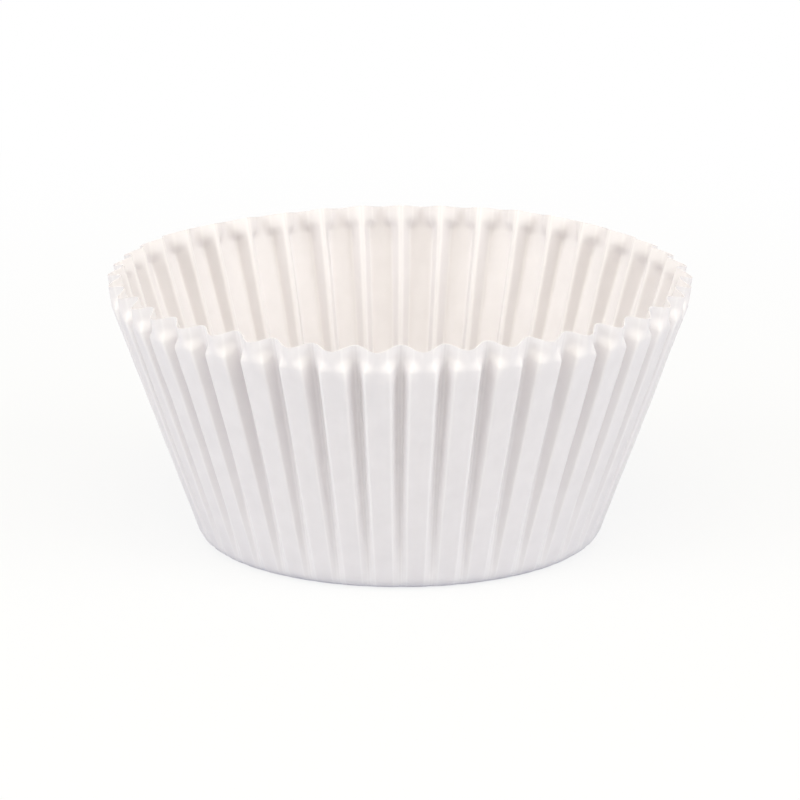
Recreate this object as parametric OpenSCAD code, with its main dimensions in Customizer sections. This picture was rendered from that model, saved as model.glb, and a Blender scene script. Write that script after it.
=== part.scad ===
// Cupcake liner: one flat disc of greaseproof paper, pressed into a fluted cup.
// Paper doesn't stretch, so the flutes deepen towards the rim by as much as it takes
// to gather the disc's growing circumference into the smaller round of the wall.
// The origin is the centre of the base's underside, and +Z points up to the rim.

/* [Cup] */
// Diameter of the base, out to where base and wall would meet in a sharp corner
base_d = 50; // [40:0.5:60]
// Length of the wall along the paper, from that corner to the rim
wall_len = 35; // [28:0.5:40]
// Angle by which the wall leans outwards from upright
wall_lean = 20; // [14:0.5:26]
// Radius of the bend between base and wall
heel_r = 2; // [1:0.1:3]
// Length below the rim over which the outer lands curl in
lip_len = 2.5; // [1:0.1:3.5]
// How far the outer lands curl in at the rim
lip_curl = 0.6; // [0.2:0.05:0.8]

/* [Paper] */
// Thickness of the paper
paper_t = 0.06; // [0.05:0.01:0.12]

/* [Flutes] */
// Number of flutes round the wall
flute_count = 42; // [34:1:46]
// Share of a flute's pitch that its inner land takes
inner_land = 0.10; // [0.06:0.01:0.14]
// Share of a flute's pitch that each of its two sides takes
side_run = 0.16; // [0.12:0.01:0.18]
// Length of paper that a crease bends, on each side of its fold
crease_w = 0.35; // [0.15:0.05:0.5]

/* [Hidden] */

// Largest share of a land or of a flute's side that one crease takes
crease_limit = 0.4;
// Steps in the heel's arc
heel_steps = 2;
// Place of the first ring above the heel, as a share of the wall's straight length. The flutes
// deepen fast up to it, and from there on by nearly as much for each millimetre.
first_ring = 0.1;
// Steps in the lip's curl
lip_steps = 2;

base_r = base_d / 2;
// Angle by which the heel turns, and the length that its bend takes off the base and the wall
heel_turn = 90 - wall_lean;
heel_cut = heel_r * tan(heel_turn / 2);
outer_land = 1 - inner_land - 2 * side_run;
flute_angle = 360 / flute_count;

// Length of one flute's pitch on a circle of radius r
function pitch(r) = 2 * PI * r / flute_count;

// Radius of the wall's outer lands, at distance s up the paper from the corner
function land_r(s) = base_r + s * sin(wall_lean);

// Larger solution of a x^2 + b x + c = 0
function larger_root(a, b, c) = (-b + sqrt(b * b - 4 * a * c)) / (2 * a);

// Depth of a flute at distance s up the paper, where the disc's circle of radius base_r + s has
// to fit into the wall. The lands and the flute's two sides add up to that circle's pitch, and
// each side is the long edge of a triangle whose other edges are its width and the depth. The
// pitch is measured half way down the flute, so lands and widths shrink in step with the depth:
// len0 and run0 are a side's length and width before that, and len1 and run1 are what each unit
// of depth adds to the one and takes off the other. The sum is for sharp folds. It leaves out
// what the creases round off, and what the lip's curl takes up.
function flute_depth(s) =
    let (w = pitch(land_r(s)))
    let (lost = pitch(cos(wall_lean) / 2))
    let (lands = outer_land + inner_land)
    let (len0 = (pitch(base_r + s) - lands * w) / 2)
    let (len1 = lands * lost / 2)
    let (run0 = side_run * w)
    let (run1 = side_run * lost)
    larger_root(1 - len1 * len1 + run1 * run1, -2 * (len0 * len1 + run0 * run1), run0 * run0 - len0 * len0);

// Crease at the corner point between two straight stretches: start, middle and end of a
// parabola that touches both
function crease(corner, dir_in, dir_out, cut) =
    [corner - cut * dir_in, corner + cut / 4 * (dir_out - dir_in), corner + cut * dir_out];

// Narrow crease at a corner point, which is only cut off
function cut_corner(corner, dir_in, dir_out, cut) = [corner - cut * dir_in, corner + cut * dir_out];

// Outline of one flute on a ring whose pitch is w, as points [share of the pitch, depth].
// It runs from one outer land down to the inner land, and up to the next outer land. At the
// lip the outer lands curl in, and the flute is that much shallower.
function flute_outline(depth, w, curl) =
    let (slope = atan2(depth, side_run * w))
    let (side_cut = min(crease_w, crease_limit * norm([side_run * w, depth])))
    let (floor_cut = min(side_cut, crease_limit * inner_land * w))
    let (land_end = outer_land / 2 * w)
    let (floor_start = (outer_land / 2 + side_run) * w)
    let (level = [1, 0])
    let (down = [cos(slope), sin(slope)])
    let (up = [cos(slope), -sin(slope)])
    [for (p = concat(
        crease([land_end, 0], level, down, side_cut),
        cut_corner([floor_start, depth], down, level, floor_cut),
        cut_corner([w - floor_start, depth], level, up, floor_cut),
        crease([w - land_end, 0], up, level, side_cut)))
        [p[0] / w, curl == 0 ? p[1] : curl + p[1] * (1 - curl / depth)]];

// Rings of the paper's middle surface, from the edge of the flat base up to the rim, each as
// [radius of the outer lands, height, angle of the outward normal below level, flute depth, curl].
// The flutes start at the edge of the base and swell over the heel.
heel_mid_r = heel_r - paper_t / 2;
heel_rings = [for (i = [0:heel_steps])
    let (share = i / heel_steps)
    let (a = heel_turn * share)
    [base_r - heel_cut + heel_mid_r * sin(a), heel_r - heel_mid_r * cos(a), 90 - a,
        flute_depth(heel_cut) * share * share, 0]];

// Ring at distance s up the paper, whose outer lands have curled in by curl
function wall_ring(s, curl) =
    [land_r(s) - paper_t / 2 * cos(wall_lean), s * cos(wall_lean) + paper_t / 2 * sin(wall_lean),
        wall_lean, flute_depth(s), curl];

lower_ring = wall_ring(heel_cut + first_ring * (wall_len - heel_cut), 0);
lip_rings = [for (i = [0:lip_steps])
    let (share = i / lip_steps)
    wall_ring(wall_len + (share - 1) * lip_len, lip_curl * share * share)];
rings = concat(heel_rings, [lower_ring], lip_rings);

// Points of one ring. A flute is pressed in square to the paper, and one of them faces the front.
function ring_points(ring) =
    let (radius = ring[0], height = ring[1], tilt = ring[2])
    [for (k = [0:flute_count - 1], p = flute_outline(ring[3], pitch(radius), ring[4]))
        let (a = -90 + (k - 0.5 + p[0]) * flute_angle)
        let (r = radius - p[1] * cos(tilt))
        [r * cos(a), r * sin(a), height + p[1] * sin(tilt)]];

mid = [for (ring = rings) ring_points(ring)];
last_ring = len(rings) - 1;
around = len(mid[0]);

// Outward normal of the middle surface at point j of ring i: straight down along the base's edge
function normal(i, j) =
    let (along = mid[i][(j + 1) % around] - mid[i][(j + around - 1) % around])
    let (up = mid[min(i + 1, last_ring)][j] - mid[max(i - 1, 0)][j])
    let (n = cross(along, up))
    i == 0 ? [0, 0, -1] : n / norm(n);

// Half a thickness outwards from the middle surface on side 1, or inwards on side -1
function skin(side) =
    [for (i = [0:last_ring], j = [0:around - 1]) mid[i][j] + side * paper_t / 2 * normal(i, j)];

// Number of point j of ring i, on the outer skin (0) or the inner skin (1)
function point_no(layer, i, j) = (layer * (last_ring + 1) + i) * around + j % around;

// Two triangles that fill the four-sided patch a, b, c, d
function patch(a, b, c, d) = [[a, b, c], [a, c, d]];

module liner() {
    outer_faces = [for (i = [0:last_ring - 1], j = [0:around - 1]) each
        patch(point_no(0, i, j), point_no(0, i + 1, j), point_no(0, i + 1, j + 1), point_no(0, i, j + 1))];
    inner_faces = [for (i = [0:last_ring - 1], j = [0:around - 1]) each
        patch(point_no(1, i, j), point_no(1, i, j + 1), point_no(1, i + 1, j + 1), point_no(1, i + 1, j))];
    rim_faces = [for (j = [0:around - 1]) each
        patch(point_no(0, last_ring, j), point_no(1, last_ring, j),
            point_no(1, last_ring, j + 1), point_no(0, last_ring, j + 1))];
    base_faces = [
        [for (j = [0:around - 1]) point_no(0, 0, j)],
        [for (j = [around - 1:-1:0]) point_no(1, 0, j)]];
    color("snow")
        polyhedron(
            points = concat(skin(1), skin(-1)),
            faces = concat(outer_faces, inner_faces, rim_faces, base_faces));
}

liner();
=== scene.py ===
"""Looks of a cupcake liner: one disc of greaseproof paper, pressed into a fluted cup."""

from __future__ import annotations

import logging
import math
from dataclasses import dataclass, field
from enum import Enum
from typing import NamedTuple, Union

import bpy
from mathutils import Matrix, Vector


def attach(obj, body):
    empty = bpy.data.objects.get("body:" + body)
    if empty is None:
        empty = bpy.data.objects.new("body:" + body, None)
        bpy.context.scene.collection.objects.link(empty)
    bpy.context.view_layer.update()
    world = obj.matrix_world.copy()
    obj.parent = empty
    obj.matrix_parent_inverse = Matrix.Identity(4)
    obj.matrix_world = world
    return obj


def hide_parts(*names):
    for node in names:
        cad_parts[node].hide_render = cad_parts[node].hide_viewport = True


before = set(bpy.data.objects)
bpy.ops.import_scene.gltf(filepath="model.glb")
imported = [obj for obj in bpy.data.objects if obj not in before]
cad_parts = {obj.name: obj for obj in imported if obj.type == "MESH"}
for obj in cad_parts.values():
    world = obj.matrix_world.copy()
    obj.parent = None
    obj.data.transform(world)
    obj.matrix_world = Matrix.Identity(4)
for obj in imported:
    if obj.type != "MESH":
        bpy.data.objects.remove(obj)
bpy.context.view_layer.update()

MM = 0.001
IMAGE_SIDE = 800
FULL_TURN = 2.0 * math.pi
WHITE = "#ffffff"
# Brings a quarter up to one: noise strays by about a quarter, and x (1 - x) is a quarter at most
FROM_QUARTER = 4.0

# What can feed a node's input: a socket, or a node whose first output is meant
Source = Union[bpy.types.Node, bpy.types.NodeSocket]

log = logging.getLogger("cupcake_liner")


class Attribute(Enum):
    """Names under which the liner's mesh keeps what its material reads."""

    SHEET = "sheet"
    CREASE = "crease"


def linear(colour: str) -> tuple[float, float, float, float]:
    """Turns an sRGB hex colour into Blender's linear values.

    Args:
        colour: the colour as "#rrggbb".

    Returns:
        Linear red, green and blue, and an alpha of 1.
    """
    parts = (int(colour[i : i + 2], 16) / 255.0 for i in (1, 3, 5))
    red, green, blue = (c / 12.92 if c <= 0.04045 else ((c + 0.055) / 1.055) ** 2.4 for c in parts)
    return red, green, blue, 1.0


def add_node(tree: bpy.types.NodeTree, kind: str, *inputs: object, **settings: object) -> bpy.types.Node:
    """Adds a node with its settings, values and links.

    Args:
        tree: the tree that gets the node.
        kind: the node's type.
        inputs: for each input in turn, a value, the socket that feeds it, the node whose first output
            feeds it, or None to leave it. A dict among them gives such values by the inputs' names.
        settings: the node's own properties.

    Returns:
        The new node.
    """
    node = tree.nodes.new(kind)
    for name, value in settings.items():
        setattr(node, name, value)
    named = {k: v for given in inputs if isinstance(given, dict) for k, v in given.items()}
    in_turn = enumerate(v for v in inputs if not isinstance(v, dict))
    for key, value in [*in_turn, *named.items()]:
        if isinstance(value, bpy.types.Node):
            value = value.outputs[0]
        if isinstance(value, bpy.types.NodeSocket):
            tree.links.new(value, node.inputs[key])
        elif value is not None:
            node.inputs[key].default_value = value
    return node


@dataclass(frozen=True)
class GreaseproofPaper:
    """Bleached greaseproof paper: hard-beaten wood pulp, pressed dense, about 0.06 mm thick.

    Its close, short fibres give the eye a nearly even white with faint clouds and a soft, low
    sheen. Light that comes through is warmer and shows the clouds more. The pressed creases
    break the fibres and stay a little paler.
    """

    colour: str = "#ebe7eb"
    cloud_colour: str = "#e2dee2"
    crease_colour: str = "#efecef"
    glow_colour: str = "#fff9ec"
    cloud_glow_colour: str = "#f2e9da"
    see_through: float = 0.18
    roughness: float = 0.55
    ior: float = 1.47
    cloud_size: float = 2.6 * MM
    cloud_detail: float = 4.0
    # Real fibres are about 0.03 mm wide, too fine to show, so they are drawn five times as wide
    fibre_width: float = 0.15 * MM
    fibre_detail: float = 3.0
    fibre_tangle: float = 1.6
    fibre_relief: float = 0.012 * MM
    fibre_strength: float = 0.35

    def build(self) -> bpy.types.Material:
        """Makes the material.

        Returns:
            The material, which reads the sheet's own flat coordinates and its creases.
        """
        material = bpy.data.materials.new("greaseproof_paper")
        material.use_nodes = True
        tree = material.node_tree
        tree.nodes.clear()
        sheet = add_node(tree, "ShaderNodeAttribute", attribute_name=Attribute.SHEET.value).outputs["Vector"]
        crease = add_node(tree, "ShaderNodeAttribute", attribute_name=Attribute.CREASE.value).outputs["Fac"]
        clouds = add_node(
            tree,
            "ShaderNodeTexNoise",
            {"Vector": sheet, "Scale": 1.0 / self.cloud_size, "Detail": self.cloud_detail},
        )
        fibres = add_node(
            tree,
            "ShaderNodeTexNoise",
            {
                "Vector": sheet,
                "Scale": 1.0 / self.fibre_width,
                "Detail": self.fibre_detail,
                "Distortion": self.fibre_tangle,
            },
        )
        clouded = add_node(
            tree,
            "ShaderNodeMix",
            {0: clouds, 6: linear(self.colour), 7: linear(self.cloud_colour)},
            data_type="RGBA",
        ).outputs[2]
        colour = add_node(
            tree, "ShaderNodeMix", {0: crease, 6: clouded, 7: linear(self.crease_colour)}, data_type="RGBA"
        ).outputs[2]
        glow_colour = add_node(
            tree,
            "ShaderNodeMix",
            {0: clouds, 6: linear(self.glow_colour), 7: linear(self.cloud_glow_colour)},
            data_type="RGBA",
        ).outputs[2]
        bump = add_node(
            tree,
            "ShaderNodeBump",
            {"Height": fibres, "Strength": self.fibre_strength, "Distance": self.fibre_relief},
        )
        surface = add_node(
            tree,
            "ShaderNodeBsdfPrincipled",
            {"Base Color": colour, "Roughness": self.roughness, "IOR": self.ior, "Normal": bump},
        )
        glow = add_node(tree, "ShaderNodeBsdfTranslucent", glow_colour, bump)
        both = add_node(tree, "ShaderNodeMixShader", self.see_through, surface, glow)
        add_node(tree, "ShaderNodeOutputMaterial", both)
        return material


class Disc(NamedTuple):
    """The flat disc as a grid: columns run round it, and rows from its centre to its edge."""

    mesh: Source
    around: Source
    row: Source
    heel_row: Source
    wall_row: Source
    lip_row: Source
    rim_row: Source


class Section(NamedTuple):
    """The cup's section, and where each point of the disc comes on it.

    A point is as far out along the paper as on the flat disc. Settled goes from 0 where the flutes
    start to 1 where they have their full depth.
    """

    out: Source
    place: Source
    radius: Source
    inward: Source
    heel_start: Source
    lip_start: Source
    length: Source
    settled: Source


class Flutes(NamedTuple):
    """The flutes: each point's own flute, its angle round the cup, and its place down the flute.

    Step is the angle from one flute to the next. Pressed goes from 0 on an outer land to 1 on an
    inner one, and slope is how steeply it does.
    """

    number: Source
    step: Source
    angle: Source
    pressed: Source
    slope: Source


@dataclass
class Liner:
    """The pressed paper cup, made from the sizes of its flat disc and of the die that flutes it."""

    paper: GreaseproofPaper = field(default_factory=GreaseproofPaper)
    base_radius: float = 25.0 * MM
    wall_length: float = 35.0 * MM
    wall_lean: float = math.radians(20.0)
    heel_radius: float = 2.0 * MM
    lip_length: float = 2.5 * MM
    lip_curl: float = 0.5 * MM
    paper_thickness: float = 0.06 * MM

    flute_count: int = 42
    # Shares of a flute's pitch that its inner land and each of its sides take
    inner_land: float = 0.10
    side_run: float = 0.16
    crease_radius: float = 0.35 * MM
    settle_length: float = 4.0 * MM
    # Distances from the rim between which the sharp flutes turn into a soft wave
    wave_start: float = 3.0 * MM
    wave_full: float = 1.4 * MM
    # A flute's outline is drawn with the pitch and depth that it has half way up the wall
    drawn_half_pitch: float = 2.3 * MM
    drawn_depth: float = 1.5 * MM

    # How far the paper strays from an even shape, and its waves per metre along x, y and z
    depth_spread: float = 0.16
    sway: float = 0.30 * MM
    sway_waves: tuple[float, float, float] = (55.0, 55.0, 20.0)
    sway_detail: float = 1.0
    wrinkle: float = 0.05 * MM
    wrinkle_waves: tuple[float, float, float] = (700.0, 700.0, 60.0)
    wrinkle_detail: float = 2.0
    seed: float = 4.0

    # The rings lie closest round the heel, between these distances from its corner in heel radii
    heel_inside: float = 1.4
    heel_outside: float = 1.6
    base_rings: int = 5
    heel_rings: int = 8
    wall_rings: int = 17
    lip_rings: int = 8
    points_per_flute: int = 28
    heel_points: int = 12
    crease_points: int = 8
    merge_distance: float = 0.001 * MM
    sharp_angle: float = math.radians(60.0)

    def inputs(self, material: bpy.types.Material) -> tuple[tuple[str, str, object], ...]:
        """Lists the inputs of the Geometry Nodes tree.

        Args:
            material: the paper's material.

        Returns:
            Each input's name, kind and value.
        """
        return (
            ("Base Radius", "Float", self.base_radius),
            ("Wall Length", "Float", self.wall_length),
            ("Wall Lean", "Float", self.wall_lean),
            ("Heel Radius", "Float", self.heel_radius),
            ("Lip Length", "Float", self.lip_length),
            ("Lip Curl", "Float", self.lip_curl),
            ("Wave Start", "Float", self.wave_start),
            ("Wave Full", "Float", self.wave_full),
            ("Flutes", "Int", self.flute_count),
            ("Points per Flute", "Int", self.points_per_flute),
            ("Inner Land", "Float", self.inner_land),
            ("Side Run", "Float", self.side_run),
            ("Crease Radius", "Float", self.crease_radius),
            ("Settle Length", "Float", self.settle_length),
            ("Sway", "Float", self.sway),
            ("Wrinkle", "Float", self.wrinkle),
            ("Depth Spread", "Float", self.depth_spread),
            ("Base Rings", "Int", self.base_rings),
            ("Heel Rings", "Int", self.heel_rings),
            ("Wall Rings", "Int", self.wall_rings),
            ("Lip Rings", "Int", self.lip_rings),
            ("Seed", "Float", self.seed),
            ("Paper", "Material", material),
        )

    def flat_disc(self, tree: bpy.types.NodeTree, given: bpy.types.NodeOutputs) -> Disc:
        """Lays out the flat disc as a grid.

        Args:
            tree: the tree that gets the nodes.
            given: the tree's inputs.

        Returns:
            The grid, and each point's place on it.
        """
        columns = add_node(
            tree, "ShaderNodeMath", given["Flutes"], given["Points per Flute"], 1.0, operation="MULTIPLY_ADD"
        )
        heel_row = given["Base Rings"]
        wall_row = add_node(tree, "ShaderNodeMath", heel_row, given["Heel Rings"], operation="ADD")
        lip_row = add_node(tree, "ShaderNodeMath", wall_row, given["Wall Rings"], operation="ADD")
        rim_row = add_node(tree, "ShaderNodeMath", lip_row, given["Lip Rings"], operation="ADD")
        rows = add_node(tree, "ShaderNodeMath", rim_row, 1.0, operation="ADD")
        grid = add_node(tree, "GeometryNodeMeshGrid", 1.0, 1.0, columns, rows)
        place = add_node(tree, "ShaderNodeSeparateXYZ", add_node(tree, "GeometryNodeInputPosition"))
        around = add_node(tree, "ShaderNodeMath", place.outputs["X"], 0.5, operation="ADD")
        up = add_node(tree, "ShaderNodeMath", place.outputs["Y"], 0.5, operation="ADD")
        row = add_node(tree, "ShaderNodeMath", up, rim_row, operation="MULTIPLY")
        return Disc(grid, around, row, heel_row, wall_row, lip_row, rim_row)

    def section_line(self, tree: bpy.types.NodeTree, given: bpy.types.NodeOutputs) -> Source:
        """Draws the cup's section: base and wall as straight lines, with the heel rounded between them.

        Args:
            tree: the tree that gets the nodes.
            given: the tree's inputs.

        Returns:
            The line, from the centre of the base to the rim.
        """
        sine = add_node(tree, "ShaderNodeMath", given["Wall Lean"], operation="SINE")
        cosine = add_node(tree, "ShaderNodeMath", given["Wall Lean"], operation="COSINE")
        along_wall = add_node(tree, "ShaderNodeCombineXYZ", sine, 0.0, cosine)
        half_base = add_node(tree, "ShaderNodeMath", given["Base Radius"], 0.5, operation="MULTIPLY")
        on_floor = add_node(tree, "ShaderNodeCombineXYZ", half_base)
        corner = add_node(tree, "ShaderNodeCombineXYZ", given["Base Radius"])
        wall = add_node(
            tree, "ShaderNodeVectorMath", along_wall, {"Scale": given["Wall Length"]}, operation="SCALE"
        )
        rim = add_node(tree, "ShaderNodeVectorMath", corner, wall, operation="ADD")
        line = add_node(
            tree,
            "GeometryNodeCurvePrimitiveQuadrilateral",
            {"Point 1": (0.0, 0.0, 0.0), "Point 2": on_floor, "Point 3": corner, "Point 4": rim},
            mode="POINTS",
        )
        line = add_node(tree, "GeometryNodeSetSplineCyclic", line, {"Cyclic": False})
        return add_node(
            tree,
            "GeometryNodeFilletCurve",
            line,
            {"Count": self.heel_points, "Radius": given["Heel Radius"], "Limit Radius": True},
            mode="POLY",
        )

    def section(self, tree: bpy.types.NodeTree, given: bpy.types.NodeOutputs, disc: Disc) -> Section:
        """Lays each ring of the disc on the cup's section.

        Args:
            tree: the tree that gets the nodes.
            given: the tree's inputs.
            disc: the flat disc.

        Returns:
            The section, and each point's place on it.
        """
        line = self.section_line(tree, given)
        length = add_node(tree, "GeometryNodeCurveLength", line)
        corner, heel_radius = given["Base Radius"], given["Heel Radius"]
        heel_start = add_node(
            tree, "ShaderNodeMath", heel_radius, -self.heel_inside, corner, operation="MULTIPLY_ADD"
        )
        heel_end = add_node(
            tree, "ShaderNodeMath", heel_radius, self.heel_outside, corner, operation="MULTIPLY_ADD"
        )
        lip_start = add_node(tree, "ShaderNodeMath", length, given["Lip Length"], operation="SUBTRACT")
        # The first of the lip's rings lies just below its fold, so that the fold stays crisp
        lip_steps = add_node(tree, "ShaderNodeMath", given["Lip Rings"], 1.0, operation="SUBTRACT")
        lip_step = add_node(tree, "ShaderNodeMath", given["Lip Length"], lip_steps, operation="DIVIDE")
        fold_start = add_node(tree, "ShaderNodeMath", lip_start, lip_step, operation="SUBTRACT")
        row, heel_row, wall_row, lip_row = disc.row, disc.heel_row, disc.wall_row, disc.lip_row
        on_base = add_node(tree, "ShaderNodeMapRange", row, 0.0, heel_row, 0.0, heel_start)
        on_heel = add_node(tree, "ShaderNodeMapRange", row, heel_row, wall_row, heel_start, heel_end)
        on_wall = add_node(tree, "ShaderNodeMapRange", row, wall_row, lip_row, heel_end, fold_start)
        at_lip = add_node(tree, "ShaderNodeMapRange", row, lip_row, disc.rim_row, fold_start, length)
        low = add_node(tree, "ShaderNodeMath", row, heel_row, operation="LESS_THAN")
        high = add_node(tree, "ShaderNodeMath", row, wall_row, operation="GREATER_THAN")
        top = add_node(tree, "ShaderNodeMath", row, lip_row, operation="GREATER_THAN")
        above = add_node(tree, "ShaderNodeMix", top, {"A": on_wall, "B": at_lip})
        upper = add_node(tree, "ShaderNodeMix", high, {"A": on_heel, "B": above})
        out = add_node(tree, "ShaderNodeMix", low, {"A": upper, "B": on_base})

        profile = add_node(tree, "GeometryNodeSampleCurve", line, {"Length": out}, mode="LENGTH")
        place = profile.outputs["Position"]
        radius = add_node(tree, "ShaderNodeSeparateXYZ", place).outputs["X"]
        heading = add_node(tree, "ShaderNodeSeparateXYZ", profile.outputs["Tangent"])
        steep = add_node(tree, "ShaderNodeMath", heading.outputs["Z"], -1.0, operation="MULTIPLY")
        inward = add_node(tree, "ShaderNodeCombineXYZ", steep, 0.0, heading.outputs["X"])
        settle_end = add_node(tree, "ShaderNodeMath", heel_start, given["Settle Length"], operation="ADD")
        settled = add_node(
            tree,
            "ShaderNodeMapRange",
            out,
            heel_start,
            settle_end,
            0.0,
            1.0,
            interpolation_type="SMOOTHSTEP",
        )
        return Section(out, place, radius, inward, heel_start, lip_start, length, settled)

    def outline(self, tree: bpy.types.NodeTree, given: bpy.types.NodeOutputs) -> Source:
        """Draws half a flute, from the middle of its outer land to the middle of its inner land.

        Args:
            tree: the tree that gets the nodes.
            given: the tree's inputs.

        Returns:
            The line, with x across the flute and y down into it.
        """
        half = self.drawn_half_pitch
        inner = add_node(tree, "ShaderNodeMath", given["Inner Land"], -half, half, operation="MULTIPLY_ADD")
        floor_edge = add_node(tree, "ShaderNodeCombineXYZ", inner, self.drawn_depth)
        outer = add_node(
            tree, "ShaderNodeMath", given["Side Run"], -2.0 * half, inner, operation="MULTIPLY_ADD"
        )
        land_edge = add_node(tree, "ShaderNodeCombineXYZ", outer)
        line = add_node(
            tree,
            "GeometryNodeCurvePrimitiveQuadrilateral",
            {
                "Point 1": (0.0, 0.0, 0.0),
                "Point 2": land_edge,
                "Point 3": floor_edge,
                "Point 4": (half, self.drawn_depth, 0.0),
            },
            mode="POINTS",
        )
        line = add_node(tree, "GeometryNodeSetSplineCyclic", line, {"Cyclic": False})
        return add_node(
            tree,
            "GeometryNodeFilletCurve",
            line,
            {"Count": self.crease_points, "Radius": given["Crease Radius"], "Limit Radius": True},
            mode="POLY",
        )

    def flutes(
        self, tree: bpy.types.NodeTree, given: bpy.types.NodeOutputs, disc: Disc, section: Section
    ) -> Flutes:
        """Shares the disc's turn out among the flutes, and each flute's among its lands and sides.

        Args:
            tree: the tree that gets the nodes.
            given: the tree's inputs.
            disc: the flat disc.
            section: the cup's section.

        Returns:
            Each point's flute, and its place on that.
        """
        turned = add_node(tree, "ShaderNodeMath", disc.around, given["Flutes"], operation="MULTIPLY")
        phase = add_node(tree, "ShaderNodeMath", turned, operation="FRACT")
        number = add_node(tree, "ShaderNodeMath", turned, phase, operation="SUBTRACT")
        there = add_node(tree, "ShaderNodeMath", phase, 2.0, operation="MULTIPLY")
        half = add_node(tree, "ShaderNodeMath", there, 1.0, operation="PINGPONG")
        outline = self.outline(tree, given)
        shape = add_node(tree, "GeometryNodeSampleCurve", outline, {"Factor": half}, mode="FACTOR")
        drawn = add_node(tree, "ShaderNodeSeparateXYZ", shape.outputs["Position"])
        wide, deep = drawn.outputs["X"], drawn.outputs["Y"]
        to_share, to_pressed = 0.5 / self.drawn_half_pitch, 1.0 / self.drawn_depth
        sharp_share = add_node(tree, "ShaderNodeMath", wide, to_share, operation="MULTIPLY")
        sharp_pressed = add_node(tree, "ShaderNodeMath", deep, to_pressed, operation="MULTIPLY")

        # The die's folds end just below the rim, where the sharp flutes turn into a soft wave
        rim = section.length
        wave_low = add_node(tree, "ShaderNodeMath", rim, given["Wave Start"], operation="SUBTRACT")
        wave_high = add_node(tree, "ShaderNodeMath", rim, given["Wave Full"], operation="SUBTRACT")
        soft = add_node(
            tree,
            "ShaderNodeMapRange",
            section.out,
            wave_low,
            wave_high,
            0.0,
            1.0,
            interpolation_type="SMOOTHSTEP",
        )
        wave_share = add_node(tree, "ShaderNodeMath", half, 0.5, operation="MULTIPLY")
        wave_angle = add_node(tree, "ShaderNodeMath", half, math.pi, operation="MULTIPLY")
        wave_cosine = add_node(tree, "ShaderNodeMath", wave_angle, operation="COSINE")
        wave_pressed = add_node(tree, "ShaderNodeMath", wave_cosine, -0.5, 0.5, operation="MULTIPLY_ADD")
        share = add_node(tree, "ShaderNodeMix", soft, {"A": sharp_share, "B": wave_share})
        pressed = add_node(tree, "ShaderNodeMix", soft, {"A": sharp_pressed, "B": wave_pressed})

        # The second half of a flute mirrors the first
        back = add_node(tree, "ShaderNodeMath", 1.0, share, operation="SUBTRACT")
        second = add_node(tree, "ShaderNodeMath", phase, 0.5, operation="GREATER_THAN")
        across = add_node(tree, "ShaderNodeMix", second, {"A": share, "B": back})
        flutes_on = add_node(tree, "ShaderNodeMath", number, across, operation="ADD")
        from_front = add_node(tree, "ShaderNodeMath", flutes_on, 0.5, operation="SUBTRACT")
        step = add_node(tree, "ShaderNodeMath", FULL_TURN, given["Flutes"], operation="DIVIDE")
        front = -0.25 * FULL_TURN
        angle = add_node(tree, "ShaderNodeMath", from_front, step, front, operation="MULTIPLY_ADD")
        slope = add_node(tree, "ShaderNodeSeparateXYZ", shape.outputs["Tangent"]).outputs["Y"]
        return Flutes(number, step, angle, pressed, slope)

    def flute_depth(
        self, tree: bpy.types.NodeTree, given: bpy.types.NodeOutputs, section: Section, flutes: Flutes
    ) -> Source:
        """Works out how deep the flutes are.

        What a flute's pitch on the flat disc has to spare over its pitch on the cup goes down one
        side of the flute and up the other.

        Args:
            tree: the tree that gets the nodes.
            given: the tree's inputs.
            section: the cup's section.
            flutes: the flutes.

        Returns:
            The depth at each point, a little less in one flute than in the next.
        """
        flat_pitch = add_node(tree, "ShaderNodeMath", section.out, flutes.step, operation="MULTIPLY")
        pitch = add_node(tree, "ShaderNodeMath", section.radius, flutes.step, operation="MULTIPLY")
        both_runs = add_node(tree, "ShaderNodeMath", given["Side Run"], 2.0, operation="MULTIPLY")
        lands = add_node(tree, "ShaderNodeMath", 1.0, both_runs, operation="SUBTRACT")
        on_lands = add_node(tree, "ShaderNodeMath", pitch, lands, operation="MULTIPLY")
        sides = add_node(tree, "ShaderNodeMath", flat_pitch, on_lands, operation="SUBTRACT")
        widths = add_node(tree, "ShaderNodeMath", pitch, both_runs, operation="MULTIPLY")
        sides_squared = add_node(tree, "ShaderNodeMath", sides, 2.0, operation="POWER")
        widths_squared = add_node(tree, "ShaderNodeMath", widths, 2.0, operation="POWER")
        squared = add_node(tree, "ShaderNodeMath", sides_squared, widths_squared, operation="SUBTRACT")
        both_depths = add_node(tree, "ShaderNodeMath", squared, operation="SQRT")
        full_depth = add_node(tree, "ShaderNodeMath", both_depths, 0.5, operation="MULTIPLY")
        depth = add_node(tree, "ShaderNodeMath", full_depth, section.settled, operation="MULTIPLY")
        own_number = add_node(tree, "ShaderNodeCombineXYZ", flutes.number)
        drawn_lot = add_node(
            tree,
            "ShaderNodeTexWhiteNoise",
            {"Vector": own_number, "W": given["Seed"]},
            noise_dimensions="4D",
        ).outputs["Value"]
        less = add_node(tree, "ShaderNodeMath", drawn_lot, given["Depth Spread"], operation="MULTIPLY")
        kept = add_node(tree, "ShaderNodeMath", 1.0, less, operation="SUBTRACT")
        return add_node(tree, "ShaderNodeMath", depth, kept, operation="MULTIPLY")

    def pressed_place(
        self, tree: bpy.types.NodeTree, given: bpy.types.NodeOutputs, section: Section, flutes: Flutes
    ) -> Source:
        """Brings each point of the disc to its place on the even fluted cup.

        Args:
            tree: the tree that gets the nodes.
            given: the tree's inputs.
            section: the cup's section.
            flutes: the flutes.

        Returns:
            The points' places.
        """
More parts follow.
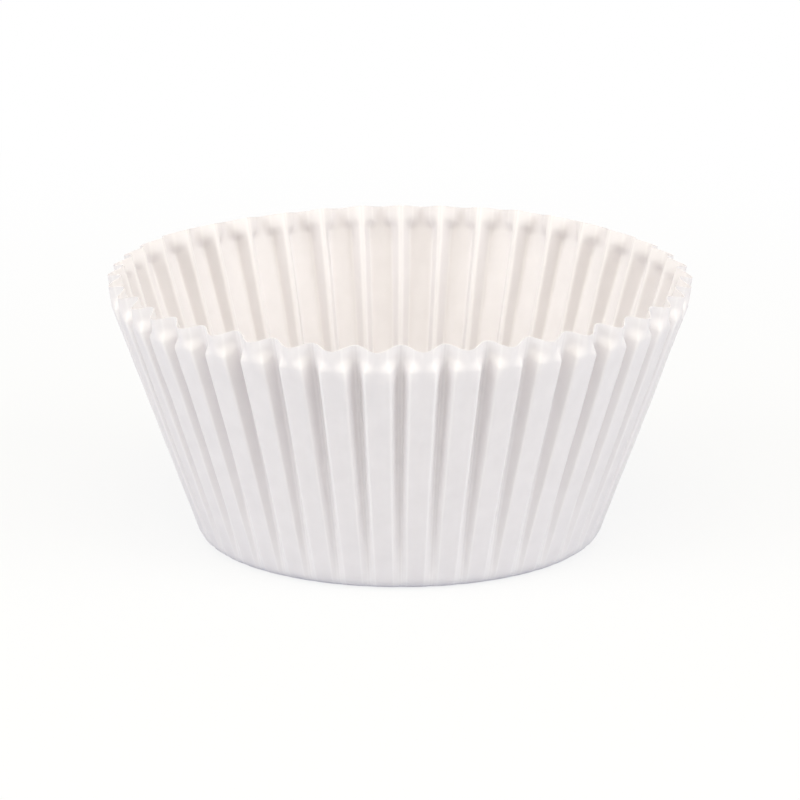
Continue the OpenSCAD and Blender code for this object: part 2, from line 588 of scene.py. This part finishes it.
        # At the lip the outer lands curl in, and the flutes are that much shallower
        on_lip = add_node(
            tree, "ShaderNodeMapRange", section.out, section.lip_start, section.length, 0.0, 1.0
        )
        curl = add_node(tree, "ShaderNodeMath", on_lip, given["Lip Curl"], operation="MULTIPLY")
        depth = self.flute_depth(tree, given, section, flutes)
        sunk = add_node(tree, "ShaderNodeMix", flutes.pressed, {"A": curl, "B": depth})
        offset = add_node(tree, "ShaderNodeVectorMath", section.inward, {"Scale": sunk}, operation="SCALE")
        in_section = add_node(tree, "ShaderNodeVectorMath", section.place, offset, operation="ADD")
        return add_node(
            tree,
            "ShaderNodeVectorRotate",
            {"Vector": in_section, "Angle": flutes.angle},
            rotation_type="Z_AXIS",
        )

    def strayed_place(
        self, tree: bpy.types.NodeTree, given: bpy.types.NodeOutputs, section: Section, even: Source
    ) -> Source:
        """Lets the paper sway more towards its free edge, and wrinkle where it is fluted.

        Args:
            tree: the tree that gets the nodes.
            given: the tree's inputs.
            section: the cup's section.
            even: the points' places on the even cup.

        Returns:
            The points' final places.
        """
        free = add_node(
            tree, "ShaderNodeMapRange", section.out, section.heel_start, section.length, 0.0, 1.0
        )
        slow_place = add_node(tree, "ShaderNodeVectorMath", even, self.sway_waves, operation="MULTIPLY")
        slow = add_node(
            tree,
            "ShaderNodeTexNoise",
            {"Vector": slow_place, "W": given["Seed"], "Scale": 1.0, "Detail": self.sway_detail},
            noise_dimensions="4D",
        ).outputs["Color"]
        slow = add_node(tree, "ShaderNodeVectorMath", slow, (0.5, 0.5, 0.5), operation="SUBTRACT")
        swing = add_node(tree, "ShaderNodeMath", free, given["Sway"], operation="MULTIPLY")
        swing = add_node(tree, "ShaderNodeMath", swing, FROM_QUARTER, operation="MULTIPLY")
        swayed = add_node(tree, "ShaderNodeVectorMath", slow, {"Scale": swing}, operation="SCALE")

        fine_place = add_node(tree, "ShaderNodeVectorMath", even, self.wrinkle_waves, operation="MULTIPLY")
        fine = add_node(
            tree,
            "ShaderNodeTexNoise",
            {"Vector": fine_place, "W": given["Seed"], "Scale": 1.0, "Detail": self.wrinkle_detail},
            noise_dimensions="4D",
        )
        fine = add_node(tree, "ShaderNodeMath", fine, 0.5, operation="SUBTRACT")
        rough = add_node(tree, "ShaderNodeMath", section.settled, given["Wrinkle"], operation="MULTIPLY")
        rough = add_node(tree, "ShaderNodeMath", rough, FROM_QUARTER, operation="MULTIPLY")
        wrinkled = add_node(tree, "ShaderNodeMath", fine, rough, operation="MULTIPLY")
        from_axis = add_node(tree, "ShaderNodeVectorMath", even, (1.0, 1.0, 0.0), operation="MULTIPLY")
        radial = add_node(tree, "ShaderNodeVectorMath", from_axis, operation="NORMALIZE")
        puckered = add_node(tree, "ShaderNodeVectorMath", radial, {"Scale": wrinkled}, operation="SCALE")
        moved = add_node(tree, "ShaderNodeVectorMath", swayed, puckered, operation="ADD")
        return add_node(tree, "ShaderNodeVectorMath", even, moved, operation="ADD")

    def tree(self, material: bpy.types.Material) -> tuple[bpy.types.GeometryNodeTree, dict[str, object]]:
        """Builds the Geometry Nodes tree that presses the disc into a cup.

        Args:
            material: the paper's material, which the tree sets.

        Returns:
            The tree, and the values of its inputs by socket identifier.
        """
        tree = bpy.data.node_groups.new("pressed_disc", "GeometryNodeTree")
        tree.interface.new_socket("Geometry", in_out="OUTPUT", socket_type="NodeSocketGeometry")
        values: dict[str, object] = {}
        for name, kind, value in self.inputs(material):
            socket = tree.interface.new_socket(name, in_out="INPUT", socket_type=f"NodeSocket{kind}")
            values[socket.identifier] = value
        given = add_node(tree, "NodeGroupInput").outputs
        disc = self.flat_disc(tree, given)
        section = self.section(tree, given, disc)
        flutes = self.flutes(tree, given, disc, section)
        even = self.pressed_place(tree, given, section, flutes)
        place = self.strayed_place(tree, given, section, even)

        # The mesh keeps where each point was on the flat disc, and how sharply the paper is creased
        flat_angle = add_node(tree, "ShaderNodeMath", disc.around, FULL_TURN, operation="MULTIPLY")
        flat_out = add_node(tree, "ShaderNodeCombineXYZ", section.out)
        on_disc = add_node(
            tree, "ShaderNodeVectorRotate", {"Vector": flat_out, "Angle": flat_angle}, rotation_type="Z_AXIS"
        )
        mesh = add_node(
            tree,
            "GeometryNodeStoreNamedAttribute",
            disc.mesh,
            {"Name": Attribute.SHEET.value, "Value": on_disc},
            data_type="FLOAT_VECTOR",
            domain="POINT",
        )
        level = add_node(tree, "ShaderNodeMath", 1.0, flutes.slope, operation="SUBTRACT")
        bent = add_node(tree, "ShaderNodeMath", flutes.slope, level, operation="MULTIPLY")
        bent = add_node(tree, "ShaderNodeMath", bent, FROM_QUARTER, operation="MULTIPLY")
        creased = add_node(tree, "ShaderNodeMath", bent, section.settled, operation="MULTIPLY")
        mesh = add_node(
            tree,
            "GeometryNodeStoreNamedAttribute",
            mesh,
            {"Name": Attribute.CREASE.value, "Value": creased},
            data_type="FLOAT",
            domain="POINT",
        )
        mesh = add_node(tree, "GeometryNodeSetPosition", mesh, {"Position": place})
        mesh = add_node(tree, "GeometryNodeMergeByDistance", mesh, {"Distance": self.merge_distance})
        mesh = add_node(tree, "GeometryNodeSetShadeSmooth", mesh)
        mesh = add_node(tree, "GeometryNodeRealizeInstances", mesh)
        mesh = add_node(tree, "GeometryNodeSetMaterial", mesh, {"Material": given["Paper"]})
        add_node(tree, "NodeGroupOutput", mesh)
        return tree, values

    def build(self) -> bpy.types.Object:
        """Makes the liner as one closed mesh of the paper's real thickness.

        Returns:
            The liner, with its object at the origin.
        """
        tree, values = self.tree(self.paper.build())
        blank = bpy.data.meshes.new("blank")
        piece = bpy.data.objects.new("fluted_liner", blank)
        bpy.context.scene.collection.objects.link(piece)
        press = piece.modifiers.new("press", "NODES")
        press.node_group = tree
        for identifier, value in values.items():
            press[identifier] = value
        # The pressed shape is the paper's outer face, so its thickness goes inwards
        thicken = piece.modifiers.new("thicken", "SOLIDIFY")
        thicken.thickness = self.paper_thickness
        thicken.offset = -1.0
        evaluated = piece.evaluated_get(bpy.context.evaluated_depsgraph_get())
        mesh = bpy.data.meshes.new_from_object(evaluated)
        piece.modifiers.clear()
        piece.data = mesh
        bpy.data.meshes.remove(blank)
        mesh.name = piece.name
        # The tree's grid comes with an empty material slot before the paper's
        mesh.materials.pop(index=0)
        mesh.set_sharp_from_angle(angle=self.sharp_angle)
        return piece


@dataclass(frozen=True)
class Softbox:
    """A square soft lamp that points at the liner, azimuth 0 being the camera's side."""

    name: str
    azimuth: float
    elevation: float
    watts: float
    colour: str
    side: float = 0.6
    distance: float = 0.9

    def build(self) -> None:
        """Makes the lamp and points it at the origin."""
        data = bpy.data.lights.new(self.name, "AREA")
        data.energy = self.watts
        data.color = linear(self.colour)[:3]
        data.size = self.side
        lamp = bpy.data.objects.new(self.name, data)
        bpy.context.scene.collection.objects.link(lamp)
        flat = math.cos(self.elevation)
        across, towards = math.sin(self.azimuth) * flat, math.cos(self.azimuth) * flat
        way = Vector((across, -towards, math.sin(self.elevation)))
        lamp.location = way * self.distance
        lamp.rotation_euler = way.to_track_quat("Z", "Y").to_euler()


@dataclass
class Studio:
    """A white floor in an even white room, three soft lamps, and the photograph's view."""

    distance: float = 700.0 * MM
    elevation: float = math.radians(17.2)
    aim_height: float = 17.0 * MM
    # The photograph's own focal length in its pixels, and how much larger the one liner is shown
    focal_pixels: float = 2051.0
    enlargement: float = 2.7
    sensor: float = 36.0

    room_light: float = 0.735
    room_colour: str = "#fffaf2"
    top_watts: float = 2.85
    top_colour: str = "#fffae0"
    top_elevation: float = math.radians(60.0)
    side_watts: float = 4.1
    side_colour: str = "#f9fffe"
    side_azimuth: float = math.radians(60.0)
    side_elevation: float = math.radians(29.0)

    # The floor's glow lights the liner from below, and its lift only pales it for the camera
    floor_colour: str = "#c4c4c4"
    floor_glow: float = 0.16
    floor_glow_colour: str = "#95bcff"
    floor_lift: float = 0.20
    # Share of plain white in what the camera sees of the floor under the liner, and the
    # distances from its axis between which that goes up to one
    floor_bare: float = 0.78
    bare_start: float = 60.0 * MM
    bare_end: float = 220.0 * MM
    floor_radius: float = 3.0
    floor_points: int = 96
    floor_drop: float = 0.05 * MM

    def camera(self) -> None:
        """Places the camera where the photograph was taken from, with a longer lens."""
        data = bpy.data.cameras.new("camera")
        camera = bpy.data.objects.new("camera", data)
        bpy.context.scene.collection.objects.link(camera)
        data.sensor_width = self.sensor
        data.lens = self.focal_pixels * self.enlargement * self.sensor / IMAGE_SIDE
        flat = self.distance * math.cos(self.elevation)
        camera.location = (0.0, -flat, self.distance * math.sin(self.elevation))
        aim = Vector((0.0, 0.0, self.aim_height))
        camera.rotation_euler = (aim - camera.location).to_track_quat("-Z", "Y").to_euler()
        bpy.context.scene.camera = camera

    def lights(self) -> None:
        """Lights the room evenly, and adds a lamp above and one on each side."""
        world = bpy.data.worlds.new("room")
        bpy.context.scene.world = world
        world.use_nodes = True
        tree = world.node_tree
        tree.nodes.clear()
        path = add_node(tree, "ShaderNodeLightPath").outputs
        seen = add_node(
            tree, "ShaderNodeMath", path["Is Camera Ray"], path["Is Glossy Ray"], operation="ADD"
        )
        seen = add_node(tree, "ShaderNodeMath", seen, path["Is Transmission Ray"], operation="ADD")
        lit = add_node(tree, "ShaderNodeBackground", linear(self.room_colour), self.room_light)
        white = add_node(tree, "ShaderNodeBackground", linear(WHITE), 1.0)
        mixed = add_node(tree, "ShaderNodeMixShader", seen, lit, white)
        add_node(tree, "ShaderNodeOutputWorld", mixed)
        Softbox("top", 0.0, self.top_elevation, self.top_watts, self.top_colour).build()
        for name, azimuth in (("left", -self.side_azimuth), ("right", self.side_azimuth)):
            Softbox(name, azimuth, self.side_elevation, self.side_watts, self.side_colour).build()

    def paint(self) -> bpy.types.Material:
        """Makes the floor's matt paint, which the camera sees as white away from the shadow.

        Returns:
            The material.
        """
        material = bpy.data.materials.new("painted_floor")
        material.use_nodes = True
        tree = material.node_tree
        tree.nodes.clear()
        camera_ray = add_node(tree, "ShaderNodeLightPath").outputs["Is Camera Ray"]
        matt = add_node(tree, "ShaderNodeBsdfDiffuse", linear(self.floor_colour))
        unseen = add_node(
            tree, "ShaderNodeMath", camera_ray, -self.floor_glow, self.floor_glow, operation="MULTIPLY_ADD"
        )
        light = add_node(tree, "ShaderNodeEmission", linear(self.floor_glow_colour), unseen)
        near = add_node(tree, "ShaderNodeAddShader", matt, light)
        lift = add_node(tree, "ShaderNodeMath", camera_ray, self.floor_lift, operation="MULTIPLY")
        lifted = add_node(tree, "ShaderNodeEmission", linear(WHITE), lift)
        near = add_node(tree, "ShaderNodeAddShader", near, lifted)
        white = add_node(tree, "ShaderNodeEmission", linear(WHITE), 1.0)
        centre = add_node(tree, "ShaderNodeTexCoord").outputs["Object"]
        reach = add_node(tree, "ShaderNodeVectorMath", centre, operation="LENGTH").outputs["Value"]
        away = add_node(
            tree,
            "ShaderNodeMapRange",
            reach,
            self.bare_start,
            self.bare_end,
            self.floor_bare,
            1.0,
            interpolation_type="SMOOTHSTEP",
        )
        seen = add_node(tree, "ShaderNodeMath", away, camera_ray, operation="MULTIPLY")
        mixed = add_node(tree, "ShaderNodeMixShader", seen, near, white)
        add_node(tree, "ShaderNodeOutputMaterial", mixed)
        return material

    def floor(self) -> bpy.types.Object:
        """Lays a round white floor just under the liner.

        Returns:
            The floor.
        """
        bpy.ops.mesh.primitive_circle_add(
            vertices=self.floor_points, radius=self.floor_radius, fill_type="NGON"
        )
        floor = bpy.context.object
        floor.name = "floor"
        floor.location.z = -self.floor_drop
        floor.data.materials.append(self.paint())
        return floor


def main() -> None:
    """Builds the liner and the studio."""
    logging.basicConfig(level=logging.INFO, format="%(name)s: %(message)s")
    bpy.context.scene.view_settings.view_transform = "Standard"
    piece = Liner().build()
    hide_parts("liner")
    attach(piece, "root")
    log.info("%s: %d faces", piece.name, len(piece.data.polygons))
    studio = Studio()
    studio.floor()
    studio.lights()
    studio.camera()


if __name__ == "__main__":
    main()
